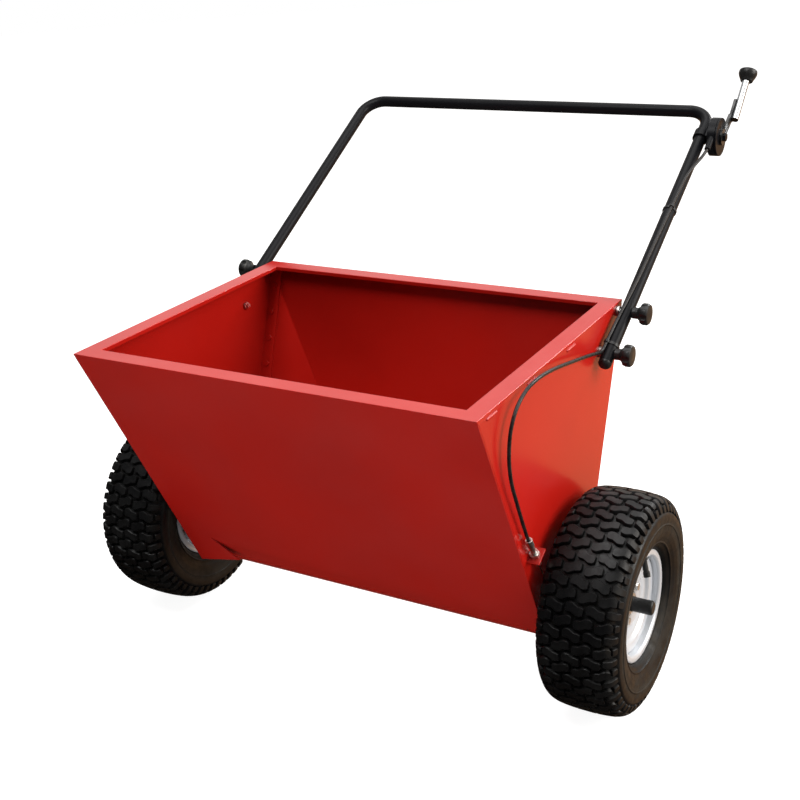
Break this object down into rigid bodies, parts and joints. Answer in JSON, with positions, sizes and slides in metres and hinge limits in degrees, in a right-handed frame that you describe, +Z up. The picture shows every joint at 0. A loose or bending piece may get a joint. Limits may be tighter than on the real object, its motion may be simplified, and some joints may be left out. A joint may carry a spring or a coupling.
{
  "type": "drop spreader cart",
  "caption": "Two-wheeled walk-behind hopper cart with a sloping steel hopper, folding push handle and a cable-worked drop gate under the axle.",
  "frame": {"origin": "on the ground, at the centre of the object's box in X and Y", "axes": "+X across to the right-hand wheel, -Y towards the sloping front, +Y towards the handle, +Z up"},
  "size_m": [0.9204, 0.944, 0.8268],
  "materials": {
    "red_paint": "gloss powder coat",
    "red_bolts": "screw heads painted over with the panels",
    "zinc": "zinc plated",
    "bronze": "sintered bronze, oiled",
    "gate_steel": "galvanised sheet and bar",
    "bare_steel": "cold drawn, oiled",
    "silver_paint": "silver paint, satin",
    "tyre_rubber": "moulded turf tread with dusty sidewalls",
    "black_rubber": "moulded",
    "black_paint": "semi-gloss powder coat",
    "black_plastic": "moulded, slightly glossy",
    "cable_jacket": "extruded jacket",
    "chrome_rod": "bright plated"
  },
  "bodies": {
    "hopper": {"left_side_panel": "red_paint", "right_side_panel": "red_paint", "front_panel": "red_paint", "rear_panel": "red_paint", "rim_frame": "red_paint", "metering_floor": "red_paint", "panel_bolts": "red_bolts", "left_bearing_boss": "zinc", "right_bearing_boss": "zinc", "left_axle_bush": "bronze", "right_axle_bush": "bronze", "gate_retaining_rings": "zinc", "pivot_studs": "zinc", "lock_studs": "zinc", "stud_spacers": "zinc", "cable_bracket": "red_paint", "cable_adjuster": "zinc", "adjuster_nuts": "zinc", "cable_lower": "cable_jacket", "rear_stand": "black_paint", "stand_bolts": "zinc"},
    "gate": {"gate_shutter": "gate_steel", "left_gate_arm": "gate_steel", "right_gate_arm": "gate_steel"},
    "wire": {"inner_wire": "bare_steel", "wire_swivel": "zinc"},
    "drive_axle": {"axle_shaft": "bare_steel", "agitator": "gate_steel", "drive_pin": "zinc", "axle_spacers": "zinc", "axle_washers": "zinc", "left_axle_cap": "black_plastic", "right_axle_cap": "black_plastic", "right_hub": "silver_paint", "right_rim_barrel": "silver_paint", "right_wheel_disc": "silver_paint", "right_tyre": "tyre_rubber", "right_valve_stem": "black_rubber", "right_wheel_bolts": "zinc"},
    "left_wheel": {"left_hub": "silver_paint", "left_hub_bushes": "bronze", "left_rim_barrel": "silver_paint", "left_wheel_disc": "silver_paint", "left_tyre": "tyre_rubber", "left_valve_stem": "black_rubber", "left_wheel_bolts": "zinc"},
    "handle": {"handle_tube": "black_paint", "handle_end_plugs": "black_plastic", "lever_clamp": "black_paint", "lever_housing": "black_paint", "lever_pivot_bolt": "zinc", "cable_upper": "cable_jacket", "cable_ties": "black_plastic"},
    "lever": {"lever_disc": "black_paint", "lever_arm": "chrome_rod", "lever_knob": "black_plastic"},
    "right_pivot_knob": {"right_pivot_knob": "black_plastic"},
    "right_lock_knob": {"right_lock_knob": "black_plastic"},
    "left_pivot_knob": {"left_pivot_knob": "black_plastic"},
    "left_lock_knob": {"left_lock_knob": "black_plastic"}
  },
  "joints": [
    {"name": "axle_spin", "type": "hinge", "parent": "hopper", "child": "drive_axle", "pos_m": [0, -0.208, 0.165], "axis": [1, 0, 0], "continuous": true},
    {"name": "left_wheel_spin", "type": "hinge", "parent": "drive_axle", "child": "left_wheel", "pos_m": [0, -0.208, 0.165], "axis": [1, 0, 0], "continuous": true},
    {"name": "handle_fold", "type": "hinge", "parent": "hopper", "child": "handle", "pos_m": [0, -0.076, 0.495], "axis": [1, 0, 0], "range_deg": [0, 118], "deforming": ["cable_lower"]},
    {"name": "lever_turn", "type": "hinge", "parent": "handle", "child": "lever", "pos_m": [0.364, 0.34259, 0.7299], "axis": [1, 0, 0], "range_deg": [0, 70]},
    {"name": "gate_turn", "type": "hinge", "parent": "hopper", "child": "gate", "pos_m": [0, -0.208, 0.165], "axis": [1, 0, 0], "range_deg": [-24, 0]},
    {"name": "wire_pull", "type": "slide", "parent": "hopper", "child": "wire", "axis": [0, -0.5, 0.866], "range_m": [0, 0.0192]},
    {"name": "right_pivot_knob_turn", "type": "hinge", "parent": "hopper", "child": "right_pivot_knob", "pos_m": [0.35, -0.076, 0.495], "axis": [1, 0, 0], "range_deg": [0, 720]},
    {"name": "right_lock_knob_turn", "type": "hinge", "parent": "hopper", "child": "right_lock_knob", "pos_m": [0.35, -0.00449, 0.53513], "axis": [1, 0, 0], "range_deg": [0, 720]},
    {"name": "left_pivot_knob_turn", "type": "hinge", "parent": "hopper", "child": "left_pivot_knob", "pos_m": [-0.35, -0.076, 0.495], "axis": [-1, 0, 0], "range_deg": [0, 720]},
    {"name": "left_lock_knob_turn", "type": "hinge", "parent": "hopper", "child": "left_lock_knob", "pos_m": [-0.35, -0.00449, 0.53513], "axis": [-1, 0, 0], "range_deg": [0, 720]}
  ],
  "couplings": [
    {"joint": "gate_turn", "follows": "lever_turn", "ratio": -0.33333},
    {"joint": "wire_pull", "follows": "lever_turn", "m_per_rad": 0.01538}
  ]
}
